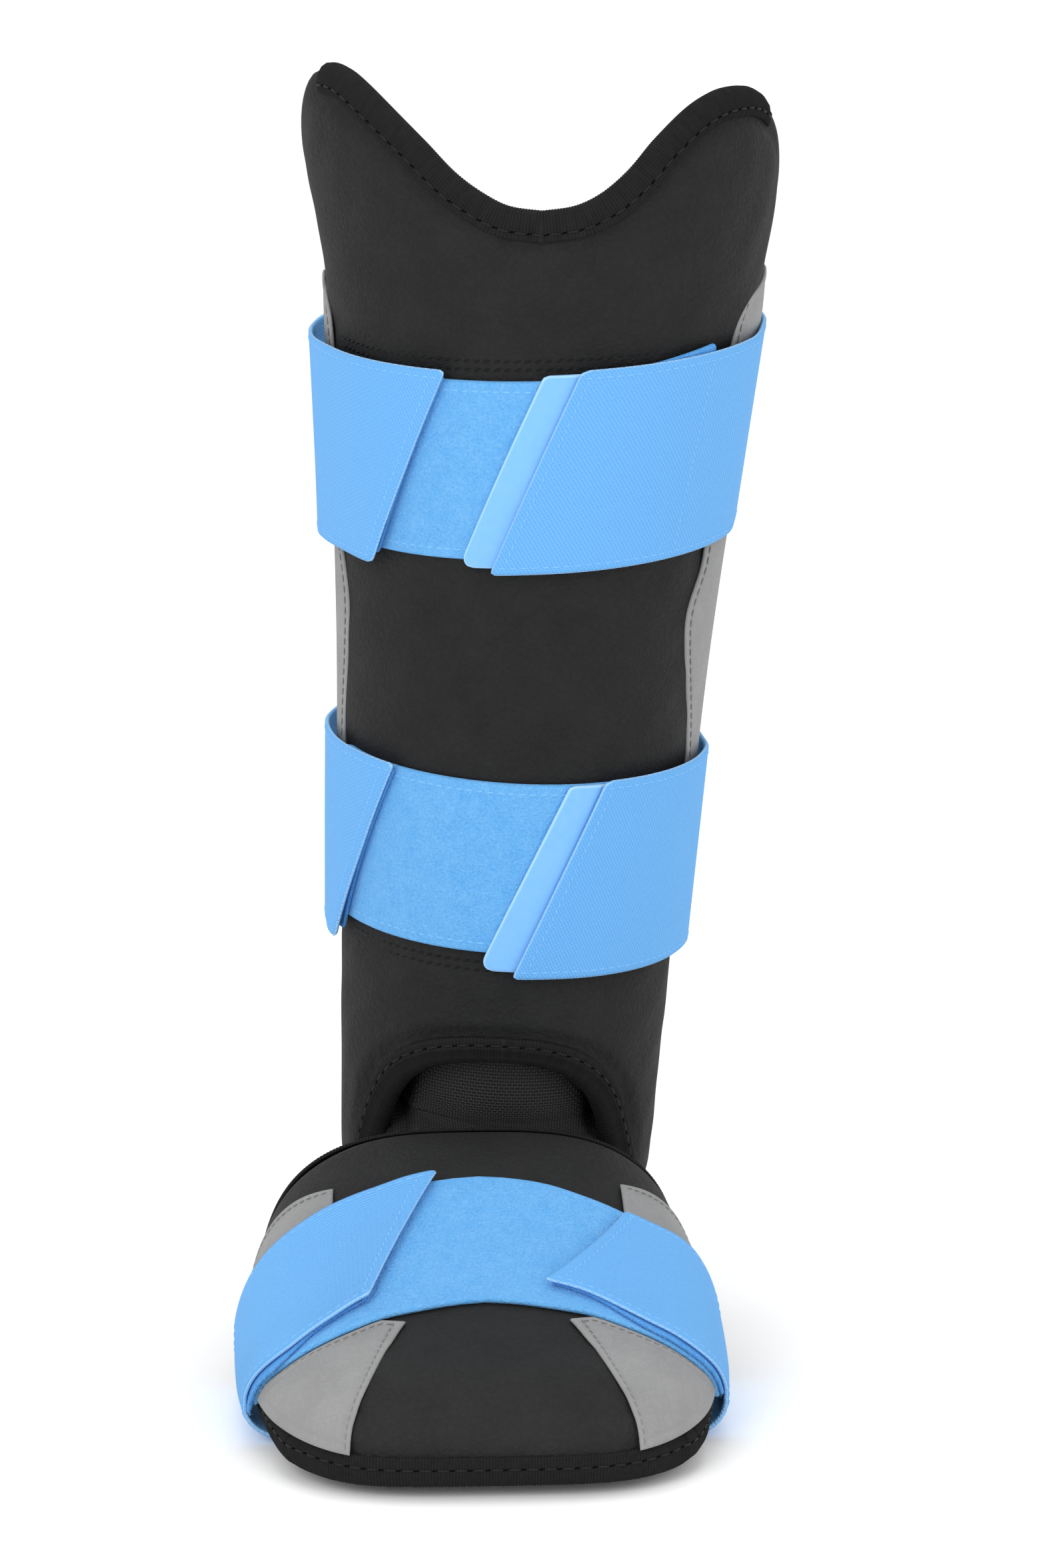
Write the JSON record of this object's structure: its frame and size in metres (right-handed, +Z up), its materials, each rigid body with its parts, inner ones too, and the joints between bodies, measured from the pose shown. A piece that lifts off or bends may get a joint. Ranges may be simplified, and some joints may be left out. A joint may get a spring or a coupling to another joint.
{
  "type": "batter's leg guard",
  "caption": "Padded shin shell and padded foot shell joined by an ankle web, with elastic hook-and-loop straps round the calf and under the foot.",
  "frame": {"origin": "on the leg's axis, inside the shin shell, midway between the two shin straps and 205 mm over the sole", "axes": "+Z up the leg, -Y towards the toe, +X to the right of someone who looks at the front"},
  "size_m": [0.1564, 0.253, 0.3792],
  "materials": {
    "leather": "matt fine pebble grain",
    "binding": "ribbed tape",
    "grey_leather": "smooth matt",
    "webbing": "coarse basket weave",
    "loop": "brushed felt",
    "hook": "fine hooks",
    "elastic": "woven elastic",
    "pull_tab": "smooth moulded"
  },
  "bodies": {
    "root": {"shin_shell": "leather", "shin_top_binding": "binding", "shin_arch_binding": "binding", "shin_side_panel_left": "grey_leather", "shin_side_panel_right": "grey_leather", "upper_strap_loop_panel": "loop", "upper_strap_hook_left": "hook", "upper_strap_hook_right": "hook", "upper_strap_pull_tab": "pull_tab", "upper_strap_band": "elastic", "lower_strap_loop_panel": "loop", "lower_strap_hook_left": "hook", "lower_strap_hook_right": "hook", "lower_strap_pull_tab": "pull_tab", "lower_strap_band": "elastic", "foot_shell": "leather", "foot_edge_binding": "binding", "foot_front_panel_left": "grey_leather", "foot_front_panel_right": "grey_leather", "foot_rear_panel_left": "grey_leather", "foot_rear_panel_right": "grey_leather", "foot_strap_loop_panel": "loop", "foot_strap_hook_left": "hook", "foot_strap_hook_right": "hook", "foot_strap_band": "elastic", "ankle_web": "webbing"}
  },
  "joints": []
}
